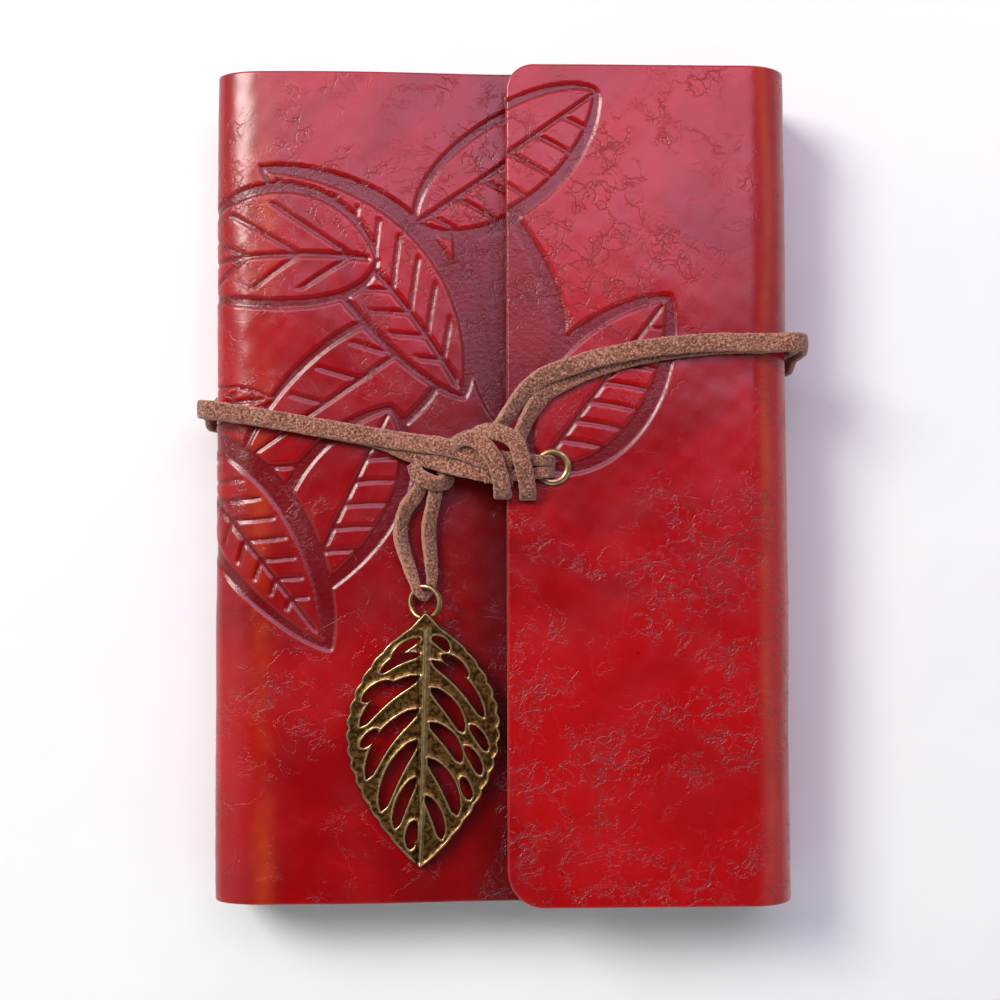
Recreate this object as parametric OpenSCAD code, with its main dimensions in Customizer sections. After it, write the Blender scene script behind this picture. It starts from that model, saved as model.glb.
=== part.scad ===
// Refillable six-ring leather journal cover, closed and tied with a suede lace.
// The book lies on its back cover: X runs from the spine to the fore edge, Y to the head of the book, Z up.

/* [Cover] */
// Width of the closed cover, spine to fore edge
cover_w = 128; // [126:0.5:140]
// Height of the cover, tail to head
cover_h = 185; // [180:0.5:200]
// Thickness of the leather
leather = 2; // [1.8:0.1:2.2]
// Height of the fold line between spine and front cover
front_fold_z = 21.6; // [21.4:0.1:22]
// Height of the fold line between fore-edge strip and flap
flap_fold_z = 27; // [26.8:0.1:28]
// Where the flap's free edge lies across the book
flap_edge_x = 1; // [-2:0.5:2]
// Radius of the flap's corner at the head
flap_corner_head = 6; // [3:0.5:10]
// Radius of the flap's corner at the tail
flap_corner_tail = 8; // [3:0.5:10]

/* [Ring mechanism] */
// Radius of the rings, to the middle of the wire
ring_radius = 7.2; // [6.8:0.1:7.3]
// Thickness of the ring wire
ring_wire = 2.2; // [1.8:0.1:2.3]
// Spacing of the three rings in each group
ring_pitch = 19; // [18:0.5:20]
// Distance between the two groups of rings
ring_group_gap = 51; // [48:1:52]
// Distance between the two spine rivets
rivet_spacing = 139; // [134:1:140]

/* [Pages] */
// Width of a refill page
page_w = 95; // [85:1:100]
// Height of a refill page
page_h = 171; // [165:1:172]
// Thickness of the whole stack of pages
page_stack = 11; // [8:0.2:11.2]
// Diameter of the punched holes
page_hole = 6; // [5.5:0.1:6]

/* [Lace and pendant] */
// Width of the flat suede lace
lace_w = 4; // [3:0.1:4]
// Thickness of the flat suede lace
lace_t = 1.5; // [1.2:0.1:1.5]
// Length of the leaf from its eye to its tip
leaf_length = 54; // [50:1:56]
// Greatest half width of the leaf
leaf_half_w = 16.5; // [15:0.5:17]

/* [Hidden] */
$fn = 48;

half = leather / 2;
gap = 0.3;
fold_x = cover_w / 2 - half;
fold_z = half;
front_top = front_fold_z + half;
flap_top = flap_fold_z + half;
panel_end = fold_x - half - gap;
front_edge_x = 53.5;
front_corner = 5;

// middle of the rings, level with the middle of the spine
ring_x = -fold_x + (front_fold_z - fold_z) / 2;
ring_z = (front_fold_z + fold_z) / 2;
spine_face = -fold_x + half;
ring_ys = [for (side = [-1, 1]) for (n = [0:2]) side * (ring_group_gap / 2 + n * ring_pitch)];
base_half_w = 6.7;
base_half_l = 84;
base_t = 1;
base_lip = 0.8;
base_lip_x = 3.4;
blade_t = 1;
blade_x = spine_face + 2;
blade_w = 5.55;
blade_half_l = 80;
tip_angle = 1.2;
rivet_post = 1.5;
rivet_head = 3.2;
rivet_dome = 0.8;
rivet_back_r = 2.6;
rivet_back_t = 0.6;
page_edge = ring_x - 1.2;

eyelet_at = [11, 3.3];
eyelet_bore = 2.6;
eyelet_barrel = 3;
eyelet_flange = 4;
eyelet_dome = 0.9;
washer_t = 0.5;

// where the lace crosses the two edges of the back cover
lace_spine_y = 17;
lace_fore_y = 30;
lace_angle = atan((lace_fore_y - lace_spine_y) / (2 * fold_x));
// the lace is pressed thinner where the book lies on it
lace_pressed = 1.2;
channel_w = 9.2;
channel_deep = 1.3;
notch_top = 4.6;

// lace routes: x, y, z, angle that the flat face looks at in the XZ plane, width, thickness
left_lower_route = [
    [-61, 15.7, 23.45, 90, lace_w, lace_t], [-40, 12.2, 23.45, 90, lace_w, lace_t],
    [-20, 8.8, 24, 95, lace_w, lace_t], [-8.6, 7.4, 28.4, 105, lace_w, lace_t]
];
left_upper_route = [
    [-61, 15.7, 25.1, 90, lace_w, lace_t], [-40, 12.2, 25.1, 90, lace_w, lace_t],
    [-20, 8.8, 25.7, 95, lace_w, lace_t], [-9, 7.6, 30.1, 105, lace_w, lace_t]
];
spine_inner_route = [
    [-61.3, 15.8, 23.45, 90, lace_w, lace_t], [-63.1, 16, 23.6, 95, lace_w, lace_t],
    [-64.2, 16.3, 23.3, 125, lace_w, lace_t], [-65, 16.5, 22.2, 160, lace_w, lace_t],
    [-65.4, 17.1, 11.5, 180, lace_w, lace_t], [-65.2, 19.2, 4.8, 200, lace_w, lace_t],
    [-63.8, 19.3, 1.7, 245, lace_w, lace_t], [-62, 19.35, 0.65, 270, lace_w, lace_pressed]
];
spine_outer_route = [
    [-61.3, 15.8, 25.1, 90, lace_w, lace_t], [-63.2, 16, 25.25, 95, lace_w, lace_t],
    [-65.2, 16.3, 24.6, 125, lace_w, lace_t], [-66.6, 16.5, 22.7, 160, lace_w, lace_t],
    [-67.1, 16.7, 20.5, 175, lace_w, lace_t], [-67.2, 16.8, 11.5, 180, lace_w, lace_t],
    [-67, 14.95, 4.4, 200, lace_w, lace_t], [-64.4, 14.9, 1.4, 245, lace_w, lace_t],
    [-62, 15.05, 0.65, 270, lace_w, lace_pressed]
];
back_head_route = [[-61.2, 19.4, 0.65, 270, lace_w, lace_pressed], [61.2, 32, 0.65, 270, lace_w, lace_pressed]];
back_tail_route = [[-61.2, 15.1, 0.65, 270, lace_w, lace_pressed], [61.2, 27.7, 0.65, 270, lace_w, lace_pressed]];
fore_inner_route = [
    [62, 32, 0.65, 270, lace_w, lace_pressed], [63.8, 32, 1.7, 295, lace_w, lace_t],
    [65.2, 32, 4.8, 340, lace_w, lace_t], [65.4, 31, 15, 360, lace_w, lace_t],
    [65.3, 30.7, 26.2, 370, lace_w, lace_t], [65, 30.6, 27.6, 380, lace_w, lace_t],
    [64.2, 30.6, 28.7, 415, lace_w, lace_t], [63.1, 30.6, 29, 445, lace_w, lace_t],
    [61.3, 30.6, 28.85, 450, lace_w, lace_t]
];
fore_outer_route = [
    [62, 27.7, 0.65, 270, lace_w, lace_pressed], [64.4, 27.9, 1.4, 295, lace_w, lace_t],
    [67, 27.8, 4.4, 340, lace_w, lace_t], [67.2, 29.6, 15, 360, lace_w, lace_t],
    [67.1, 30.4, 25.9, 365, lace_w, lace_t], [66.6, 30.6, 28.1, 380, lace_w, lace_t],
    [65.2, 30.6, 30, 415, lace_w, lace_t], [63.2, 30.6, 30.65, 445, lace_w, lace_t],
    [61.3, 30.6, 30.5, 450, lace_w, lace_t]
];
right_lower_route = [
    [60.9, 30.5, 28.85, 90, lace_w, lace_t], [43, 29.6, 28.85, 90, lace_w, lace_t],
    [30, 27.6, 28.85, 90, lace_w, lace_t], [17, 23.6, 28.85, 90, lace_w, lace_t],
    [9, 19, 28.95, 90, lace_w, lace_t], [5.2, 13.4, 29.6, 90, lace_w, lace_t]
];
right_upper_route = [
    [60.9, 30.5, 30.5, 90, lace_w, lace_t], [43, 30.2, 30.5, 90, lace_w, lace_t],
    [30, 28.8, 30.5, 90, lace_w, lace_t], [17, 25.8, 30.55, 90, lace_w, lace_t],
    [7, 21.6, 30.6, 90, lace_w, lace_t], [0.4, 13.4, 31, 90, lace_w, lace_t]
];
eyelet_route = [
    [6.4, 3.5, 30.7, 90, 3.8, 2.8], [8.8, 3.4, 31, 80, 3.8, 2.8], [10.4, 3.3, 30.3, 50, 3.8, 2.7],
    [11, 3.3, 28.4, 5, 3.8, 2.7], [11, 3.3, 24.8, 0, 3.8, 2.7]
];
tail_route = [
    [-17.9, -0.8, 23.6, 90, 3.2, lace_t], [-21.6, -6, 23.5, 90, 3.4, lace_t],
    [-22.4, -11, 23.5, 90, 3.4, lace_t], [-21, -17, 24, 90, 3, lace_t],
    [-19.4, -21.4, 25.8, 90, 2.2, lace_t], [-18.6, -23.7, 26, 90, 1.8, 1.4],
    [-17.2, -25.1, 24.7, 90, 1.8, 1.4], [-16, -23.9, 23.75, 90, 1.8, 1.4],
    [-15.5, -21.4, 23.5, 90, 2.2, lace_t], [-15.7, -17, 23.5, 90, 3, lace_t],
    [-16.2, -10, 23.5, 90, 3.4, lace_t], [-15.2, -4.6, 23.5, 90, 3.2, lace_t],
    [-14.2, -0.8, 23.6, 90, 3.2, lace_t]
];

jump_ring_at = [-17, -26.2, 25.3];
jump_ring_r = 3.4;
jump_ring_wire = 0.5;
jump_ring_tilt = 40;

// the leaf hangs from its eye and slopes down to the front cover at its tip
leaf_at = [-16.8, -30.2, 25.3];
leaf_slope = 2.2;
leaf_plate = 0.9;
leaf_relief = 0.55;
leaf_eye_bore = 1.6;
leaf_eye_rim = 2.5;
leaf_scallops = 9;
leaf_scallop_deep = 0.35;
leaf_drift = -1.3;
leaf_rim = 1.3;
// openings between the veins: outer end, inner end, width, bow
leaf_gaps = [
    [[-7.4, -8.4], [-1.3, -3.9], 1.3, 0.5],
    [[-9.8, -11.3], [-1.4, -7.4], 1.4, 0.9],
    [[-13.8, -17.6], [-7.2, -13.4], 2, 0.4],
    [[-14.4, -23.1], [-1.4, -12.2], 2.4, 1.6],
    [[-14.2, -27.6], [-10.6, -23.8], 1.6, 0],
    [[-13, -34.6], [-1.7, -19.4], 2.8, 2],
    [[-9.8, -41.6], [-2.1, -26.2], 2.7, 1.3],
    [[-6.8, -45.4], [-2.3, -34.4], 2, 0.7],
    [[-3.5, -50], [-2.6, -43.8], 1.8, 0.2],
    [[5, -6.6], [1.5, -3.6], 1.6, -0.4],
    [[9.1, -12.3], [3.6, -7.6], 1.9, -0.4],
    [[12.6, -21.2], [1.3, -8.8], 2.1, -1.6],
    [[8.2, -24.4], [1.2, -14.8], 2.3, -0.9],
    [[7.7, -31], [0.9, -22.4], 2.4, -1],
    [[13.4, -28.6], [9.8, -23], 1.5, -0.3],
    [[12, -33.8], [8.6, -27.6], 1.6, -0.4],
    [[6.8, -42.6], [0.5, -30.2], 2.6, -1.2],
    [[9.6, -39.2], [7.9, -34.4], 1.6, 0],
    [[3.4, -47.8], [0, -38.4], 1.9, -0.7]
];

function unit(v) = v / norm(v);
function along(route, i) =
    unit(route_point(route, min(i + 1, len(route) - 1)) - route_point(route, max(i - 1, 0)));
function route_point(route, i) = [route[i][0], route[i][1], route[i][2]];
function facing(row) = [cos(row[3]), 0, sin(row[3])];
function lace_section(w, t) = [
    [w / 2, -t / 4], [w / 2, t / 4], [w * 0.4, t / 2], [-w * 0.4, t / 2],
    [-w / 2, t / 4], [-w / 2, -t / 4], [-w * 0.4, -t / 2], [w * 0.4, -t / 2]
];
function lace_ring(route, i) =
    let (
        row = route[i],
        ahead = along(route, i),
        side = unit(cross(ahead, facing(row))),
        out = cross(side, ahead)
    )
    [for (c = lace_section(row[4], row[5])) route_point(route, i) + c[0] * side + c[1] * out];

module lace(route) {
    sides = 8;
    last = len(route) - 1;
    points = [for (i = [0:last]) each lace_ring(route, i)];
    walls = [
        for (i = [0:last - 1]) for (k = [0:sides - 1])
            let (a = i * sides + k, b = i * sides + (k + 1) % sides)
            each [[a, b, b + sides], [a, b + sides, a + sides]]
    ];
    start = [[for (k = [0:sides - 1]) sides - 1 - k]];
    finish = [[for (k = [0:sides - 1]) last * sides + k]];
    polyhedron(points, concat(start, walls, finish), convexity = 4);
}

module along_y(length) {
    rotate([90, 0, 0])
        linear_extrude(length, center = true)
            children();
}

// a flat panel of leather with two rounded corners on its free side
module rounded_panel(x_free, x_fold, r_head, r_tail, z) {
    side = sign(x_fold - x_free);
    top = cover_h / 2;
    translate([0, 0, z - half])
        linear_extrude(leather) {
            widest = max(r_head, r_tail);
            low_x = min(x_fold, x_free + side * widest);
            translate([low_x, -top])
                square([abs(x_fold - x_free) - widest, cover_h]);
            translate([min(x_free, x_free + side * widest), -top + r_tail])
                square([widest, cover_h - r_head - r_tail]);
            corner_fill(x_free + side * r_head, top - r_head, r_head, side * (widest - r_head), 1);
            corner_fill(x_free + side * r_tail, -top + r_tail, r_tail, side * (widest - r_tail), -1);
        }
}

module corner_fill(x, y, r, reach, up) {
    intersection() {
        translate([x, y])
            circle(r);
        translate([x - r, up > 0 ? y : y - r])
            square([2 * r, r]);
    }
    if (abs(reach) > 0)
        translate([min(x, x + reach), up > 0 ? y : y - r])
            square([abs(reach), r]);
}

module leather_colour() {
    color([0.7, 0.05, 0.07])
        children();
}

module suede_colour() {
    color([0.52, 0.33, 0.26])
        children();
}

module brass_colour() {
    color([0.45, 0.36, 0.18])
        children();
}

module steel_colour() {
    color([0.75, 0.75, 0.77])
        children();
}

// the strip that stands between two fold lines, with a rolled fold along each
module standing_panel(x, z_low, z_high) {
    along_y(cover_h) {
        translate([x - half, z_low])
            square([leather, z_high - z_low]);
        for (z = [z_low, z_high])
            translate([x, z])
                circle(half);
    }
}

module lace_notch(x, y) {
    translate([x, y, notch_top / 2 - 1])
        cube([3 * leather, channel_w, notch_top + 2], center = true);
}

// runs under the book, from edge to edge, along the lace
module lace_channel() {
    translate([0, (lace_spine_y + lace_fore_y) / 2, channel_deep / 2 - 1])
        rotate([0, 0, lace_angle])
            cube([2 * cover_w, channel_w, channel_deep + 2], center = true);
}

module back_cover() {
    leather_colour()
        difference() {
            translate([0, 0, half])
                cube([2 * panel_end, cover_h, leather], center = true);
            lace_channel();
        }
}

module spine() {
    leather_colour()
        difference() {
            standing_panel(-fold_x, fold_z, front_fold_z);
            lace_notch(-fold_x, lace_spine_y);
            for (side = [-1, 1])
                translate([-fold_x, side * rivet_spacing / 2, ring_z])
                    rotate([0, 90, 0])
                        cylinder(h = 3 * leather, r = rivet_post, center = true);
        }
}

module front_cover() {
    leather_colour()
        rounded_panel(front_edge_x, -panel_end, front_corner, front_corner, front_fold_z);
}

module fore_edge_strip() {
    leather_colour()
        difference() {
            standing_panel(fold_x, fold_z, flap_fold_z);
            lace_notch(fold_x, lace_fore_y);
        }
}

module flap() {
    leather_colour()
        difference() {
            rounded_panel(flap_edge_x, panel_end, flap_corner_head, flap_corner_tail, flap_fold_z);
            translate([eyelet_at[0], eyelet_at[1], flap_fold_z])
                cylinder(h = 3 * leather, r = eyelet_barrel, center = true);
        }
}

module at_rivets() {
    for (side = [-1, 1])
        translate([spine_face, side * rivet_spacing / 2, ring_z])
            rotate([0, 90, 0])
                children();
}

module ring_base_plate() {
    steel_colour()
        difference() {
            along_y(2 * base_half_l) {
                translate([spine_face, ring_z - base_half_w])
                    square([base_t, 2 * base_half_w]);
                for (side = [-1, 1])
                    translate([spine_face, ring_z + side * (base_half_w - base_lip / 2) - base_lip / 2])
                        square([base_lip_x, base_lip]);
            }
            at_rivets()
                cylinder(h = 4 * base_t, r = rivet_post, center = true);
        }
}

module ring_blade(side) {
    middle = ring_z + side * (blade_w / 2 + 0.15);
    steel_colour()
        translate([blade_x + blade_t / 2, 0, middle])
            cube([blade_t, 2 * blade_half_l, blade_w], center = true);
}

module ring_halves(side) {
    steel_colour()
        difference() {
            for (y = ring_ys)
                translate([ring_x, y, ring_z])
                    rotate([side * 90, 0, 0])
                        rotate([0, 0, tip_angle])
                            rotate_extrude(angle = 165)
                                translate([ring_radius, 0])
                                    circle(d = ring_wire);
            translate([blade_x + blade_t - 10, -cover_h / 2, ring_z - 10])
                cube([10, cover_h, 20]);
        }
}

module upper_ring_blade() {
    ring_blade(1);
}

module lower_ring_blade() {
    ring_blade(-1);
}

module upper_ring_halves() {
    ring_halves(1);
}

module lower_ring_halves() {
    ring_halves(-1);
}

module spine_rivets() {
    dome_r = (rivet_head * rivet_head + rivet_dome * rivet_dome) / (2 * rivet_dome);
    brass_colour()
        at_rivets() {
            translate([0, 0, -leather])
                cylinder(h = leather + base_t + rivet_back_t, r = rivet_post);
            translate([0, 0, -leather])
                mirror([0, 0, 1])
                    rotate_extrude()
                        intersection() {
                            translate([0, rivet_dome - dome_r])
                                circle(dome_r, $fn = 180);
                            square([rivet_head, rivet_dome]);
                        }
        }
}

module spine_rivet_backs() {
    brass_colour()
        at_rivets()
            translate([0, 0, base_t])
                difference() {
                    cylinder(h = rivet_back_t, r = rivet_back_r);
                    cylinder(h = 3 * rivet_back_t, r = rivet_post, center = true);
                }
}

module page_stack_body() {
    color([0.93, 0.88, 0.76])
        difference() {
            translate([page_edge, -page_h / 2, ring_z - page_stack / 2])
                cube([page_w, page_h, page_stack]);
            for (y = ring_ys)
                translate([ring_x, y, ring_z])
                    rotate([90, 0, 0])
                        rotate_extrude()
                            translate([ring_radius, 0])
                                circle(d = page_hole);
        }
}

module at_eyelet(z) {
    translate([eyelet_at[0], eyelet_at[1], z])
        children();
}

module eyelet() {
    barrel_h = leather + washer_t;
    flange_w = eyelet_flange - eyelet_bore;
    brass_colour()
        at_eyelet(flap_top)
            rotate_extrude() {
                translate([eyelet_bore, -barrel_h])
                    square([eyelet_barrel - eyelet_bore, barrel_h]);
                intersection() {
                    translate([eyelet_bore + flange_w / 2, 0])
                        circle(eyelet_dome);
                    translate([eyelet_bore, 0])
                        square([flange_w, eyelet_dome]);
                }
            }
}

module eyelet_washer() {
    brass_colour()
        at_eyelet(flap_top - leather - washer_t)
            difference() {
                cylinder(h = washer_t, r = eyelet_flange + 0.2);
                cylinder(h = 3 * washer_t, r = eyelet_barrel, center = true);
            }
}

module lace_left_run() {
    suede_colour() {
        lace(left_lower_route);
        lace(left_upper_route);
    }
}

module lace_spine_turn() {
    suede_colour() {
        lace(spine_inner_route);
        lace(spine_outer_route);
    }
}

module lace_back_run() {
    suede_colour() {
        lace(back_head_route);
        lace(back_tail_route);
    }
}

module lace_fore_edge_turn() {
    suede_colour() {
        lace(fore_inner_route);
        lace(fore_outer_route);
    }
}

module lace_right_run() {
    suede_colour() {
        lace(right_lower_route);
        lace(right_upper_route);
    }
}

module lace_knot() {
    suede_colour()
        hull()
            for (spot = [[-4.4, 8, 0.3], [-3.4, 1.6, 0], [2.8, 8.4, 0], [3, 1, 0]])
                translate([spot[0], spot[1], flap_top + 2.9 + spot[2]])
                    sphere(2.6, $fn = 24);
}

module lace_eyelet_end() {
    suede_colour()
        lace(eyelet_route);
}

module lace_stopper_knot() {
    suede_colour()
        at_eyelet(front_top + gap)
            cylinder(h = 1.8, r = 4.4);
}

module lace_hitch() {
    suede_colour()
        hull()
            for (x = [-18.3, -13.9])
                translate([x, 2.4, front_top + 2])
                    sphere(1.9, $fn = 24);
}

module lace_tail_loop() {
    suede_colour()
        lace(tail_route);
}

module jump_ring() {
    brass_colour()
        translate(jump_ring_at)
            rotate([0, -jump_ring_tilt, 0])
                rotate_extrude()
                    translate([jump_ring_r, 0])
                        circle(jump_ring_wire, $fn = 24);
}

function leaf_axis(t) = [leaf_drift * t, -leaf_length * t];
function leaf_reach(t) = pow(max(sin(180 * pow(t, 0.87)), 0), 0.8);
function leaf_wave(t) = leaf_scallop_deep * abs(sin(180 * leaf_scallops * t)) * leaf_reach(t);
function leaf_side(side) = [
    for (n = [0:45])
        let (t = n / 45)
        leaf_axis(t) + [side * (leaf_half_w * leaf_reach(t) + leaf_wave(t)), 0]
];
function leaf_outline() = concat(leaf_side(-1), reversed(leaf_side(1)));
// a side from its last point but one back to its second, as both sides share their ends
function reversed(list) = [for (n = [len(list) - 2:-1:1]) list[n]];
// a slim opening that narrows to both ends and bows to one side
function slot(a, b, w, bow) =
    let (ahead = unit(b - a), across = [-ahead[1], ahead[0]], steps = 8)
    concat(
        [for (n = [0:steps]) slot_point(a, b, across, n / steps, w / 2, bow)],
        [for (n = [steps - 1:-1:1]) slot_point(a, b, across, n / steps, -w / 2, bow)]
    );
function slot_point(a, b, across, s, reach, bow) =
    a + (b - a) * s + across * (bow * sin(180 * s) + reach * pow(sin(180 * s), 0.6));

module leaf_openings() {
    for (g = leaf_gaps)
        polygon(slot(g[0], g[1], g[2], g[3]));
}

module leaf_rims() {
    for (g = leaf_gaps)
        let (ahead = unit(g[1] - g[0]) * leaf_rim / 2)
            polygon(slot(g[0] - ahead, g[1] + ahead, g[2] + leaf_rim, g[3]));
}

module leaf_blade() {
    polygon(leaf_outline());
    circle(leaf_eye_rim);
}

module leaf_midrib() {
    rib = [[-0.6, -2.2], [-0.9, -20], [-1.5, -36], [-1.5, -52.6], [-1.1, -52.6], [-0.5, -36], [0.3, -20], [0.6, -2.2]];
    polygon(rib);
}

module leaf_pendant() {
    brass_colour()
        translate(leaf_at)
            rotate([leaf_slope, 0, 0])
                difference() {
                    union() {
                        translate([0, 0, -leaf_plate / 2])
                            linear_extrude(leaf_plate)
                                leaf_blade();
                        translate([0, 0, leaf_plate / 2 - 0.01])
                            linear_extrude(leaf_relief)
                                intersection() {
                                    polygon(leaf_outline());
                                    union() {
                                        leaf_rims();
                                        leaf_midrib();
                                    }
                                }
                    }
                    translate([0, 0, -2])
                        linear_extrude(4)
                            leaf_openings();
                    cylinder(h = 4, r = leaf_eye_bore, center = true);
                }
}

back_cover();
spine();
front_cover();
fore_edge_strip();
flap();
ring_base_plate();
upper_ring_blade();
lower_ring_blade();
upper_ring_halves();
lower_ring_halves();
spine_rivets();
spine_rivet_backs();
page_stack_body();
eyelet();
eyelet_washer();
lace_left_run();
lace_spine_turn();
lace_back_run();
lace_fore_edge_turn();
lace_right_run();
lace_knot();
lace_eyelet_end();
lace_stopper_knot();
lace_hitch();
lace_tail_loop();
jump_ring();
leaf_pendant();
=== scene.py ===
"""Looks of a closed six-ring leather journal, tied with a suede lace that carries a brass leaf."""

import math

import bmesh
import bpy
import numpy as np
from mathutils import Matrix, Vector
from mathutils.geometry import tessellate_polygon


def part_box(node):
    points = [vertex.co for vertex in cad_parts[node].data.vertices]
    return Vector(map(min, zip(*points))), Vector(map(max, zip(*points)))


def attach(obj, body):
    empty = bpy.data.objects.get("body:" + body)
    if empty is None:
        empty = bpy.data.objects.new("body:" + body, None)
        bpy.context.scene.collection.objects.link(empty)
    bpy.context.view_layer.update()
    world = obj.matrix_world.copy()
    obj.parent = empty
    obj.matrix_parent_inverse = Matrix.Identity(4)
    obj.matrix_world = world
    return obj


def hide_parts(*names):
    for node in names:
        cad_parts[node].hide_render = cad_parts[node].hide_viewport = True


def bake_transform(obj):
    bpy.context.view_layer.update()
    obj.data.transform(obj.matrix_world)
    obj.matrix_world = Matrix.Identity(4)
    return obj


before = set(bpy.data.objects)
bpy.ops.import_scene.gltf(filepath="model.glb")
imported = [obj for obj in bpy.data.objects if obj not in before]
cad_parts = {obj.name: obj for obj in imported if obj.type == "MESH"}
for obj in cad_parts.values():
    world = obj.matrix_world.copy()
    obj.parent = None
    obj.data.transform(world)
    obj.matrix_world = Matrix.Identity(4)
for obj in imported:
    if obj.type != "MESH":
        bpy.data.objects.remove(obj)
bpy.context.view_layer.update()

MM = 0.001


# ---- sizes from the frame, in mm
def node_box(node):
    low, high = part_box(node)
    return np.array(low) / MM, np.array(high) / MM


back_low, back_high = node_box("back_cover")
strip_high = node_box("fore_edge_strip")[1]
front_low, front_high = node_box("front_cover")
flap_low, flap_high = node_box("flap")
pages_low, pages_high = node_box("page_stack_body")
ring_low, ring_high = node_box("upper_ring_halves")

LEATHER = back_high[2] - back_low[2]
HALF = LEATHER / 2
TOP = back_high[1]
FOLD_X = strip_high[0] - HALF
BACK_Z = HALF
FRONT_Z = (front_low[2] + front_high[2]) / 2
FLAP_Z = (flap_low[2] + flap_high[2]) / 2
FLAP_EDGE = flap_low[0]
SPINE_MID_Z = (BACK_Z + FRONT_Z) / 2
STRIP_MID_Z = (BACK_Z + FLAP_Z) / 2

# rounded bends of the leather: reach along the cover, reach up the side
LOW_BEND = 5.5
SPINE_BEND = (10.0, 5.0)
FORE_BEND = (9.0, 7.0)


# ---- camera and lights
CAMERA_PLACE = (-8.19, -14.58, 341.95)
CAMERA_ANGLE = 38.32
CAMERA_TURNS = (("X", 1.948), ("Y", -1.395), ("Z", -0.0996))

# the sky's strength falls from the first number to the second where it nears the zenith
SKY_FADE = {"From Min": 0.68, "From Max": 0.93, "To Min": 0.55, "To Max": 0.02}
SKY_COLOUR = (0.88, 0.92, 1.0, 1)


def make_camera():
    data = bpy.data.cameras.new("camera")
    data.angle = math.radians(CAMERA_ANGLE)
    data.clip_start = 0.01
    cam = bpy.data.objects.new("camera", data)
    bpy.context.scene.collection.objects.link(cam)
    turn = Matrix.Identity(4)
    for axis, degrees in CAMERA_TURNS:
        turn = turn @ Matrix.Rotation(math.radians(degrees), 4, axis)
    cam.matrix_world = Matrix.Translation(Vector(CAMERA_PLACE) * MM) @ turn
    bpy.context.scene.camera = cam


def area_light(name, place, target, size, power, colour, spin=0):
    data = bpy.data.lights.new(name, "AREA")
    data.shape = "RECTANGLE"
    data.size, data.size_y = size
    data.energy = power
    data.color = colour
    lamp = bpy.data.objects.new(name, data)
    lamp.location = place
    lamp.rotation_mode = "QUATERNION"
    aim = (Vector(target) - Vector(place)).to_track_quat("-Z", "Y")
    lamp.rotation_quaternion = Matrix.Rotation(math.radians(spin), 3, "Z").to_quaternion() @ aim
    bpy.context.scene.collection.objects.link(lamp)


def make_light():
    """A soft sky, dark overhead, a key from the top left, and a panel that glosses the head end."""
    world = bpy.data.worlds.new("studio")
    world.use_nodes = True
    tree = world.node_tree
    direction = tree.nodes.new("ShaderNodeTexCoord")
    split = tree.nodes.new("ShaderNodeSeparateXYZ")
    fade = tree.nodes.new("ShaderNodeMapRange")
    fade.interpolation_type = "SMOOTHSTEP"
    for key, number in SKY_FADE.items():
        fade.inputs[key].default_value = number
    background = tree.nodes["Background"]
    background.inputs["Color"].default_value = SKY_COLOUR
    tree.links.new(direction.outputs["Generated"], split.inputs["Vector"])
    tree.links.new(split.outputs["Z"], fade.inputs["Value"])
    tree.links.new(fade.outputs["Result"], background.inputs["Strength"])
    bpy.context.scene.world = world
    bpy.context.scene.view_settings.view_transform = "Standard"
    area_light("key", (-0.75, 0.55, 0.95), (0, 0, 0), (0.5, 0.5), 13.5, (1, 0.97, 0.93))
    area_light("gloss", (0.07, 0.46, 0.9), (0.07, 0.46, 0), (0.8, 0.5), 4.0, (0.9, 0.68, 1.0), -12)


# ---- helpers for numbers
def smooth_step(low, high, value):
    t = np.clip((value - low) / (high - low), 0, 1)
    return t * t * (3 - 2 * t)


def waves(points, seed, wavelength, count=7):
    """Smooth noise of about -1 to 1: waves of random direction and phase, the same on every run."""
    rng = np.random.default_rng(seed)
    total = np.zeros(len(points))
    for _ in range(count):
        direction = rng.normal(size=3)
        direction *= 2 * math.pi / (wavelength * rng.uniform(0.7, 1.5) * np.linalg.norm(direction))
        total += np.sin(points @ direction + rng.uniform(0, 2 * math.pi))
    return total / math.sqrt(count * 2)


def runs(*marks):
    """Positions from mark to mark: (start, spacing), (next, spacing), ..., (end, None)."""
    found = []
    for (start, step), (end, _) in zip(marks, marks[1:]):
        count = max(1, round(abs(end - start) / step))
        found.append(np.linspace(start, end, count, endpoint=False))
    return np.concatenate([*found, [marks[-1][0]]])


# distances from a cut edge at which its rounding has a vertex
EDGE_STEPS = np.array([0.0, 0.04, 0.15, 0.32, 0.55])
EDGE_ROUND = 0.5


def edge_drop(distance):
    """How far the leather's upper face falls near a cut edge."""
    d = np.clip(distance, 0, EDGE_ROUND)
    return EDGE_ROUND - np.sqrt(EDGE_ROUND**2 - (EDGE_ROUND - d) ** 2)


# ---- helpers for meshes
def new_object(name, mesh, *materials):
    for material in materials:
        mesh.materials.append(material)
    made = bpy.data.objects.new(name, mesh)
    bpy.context.scene.collection.objects.link(made)
    return made


def mesh_from(name, points_mm, faces, slots=None, sharp=50):
    mesh = bpy.data.meshes.new(name)
    mesh.from_pydata((np.asarray(points_mm) * MM).tolist(), [], faces)
    if slots is not None:
        mesh.polygons.foreach_set("material_index", np.asarray(slots, np.int32))
    mesh.polygons.foreach_set("use_smooth", np.ones(len(mesh.polygons), bool))
    mesh.set_sharp_from_angle(angle=math.radians(sharp))
    mesh.update()
    return mesh


def add_values(mesh, name, values):
    layer = mesh.attributes.new(name, "FLOAT", "POINT")
    layer.data.foreach_set("value", np.asarray(values, np.float32))


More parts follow.
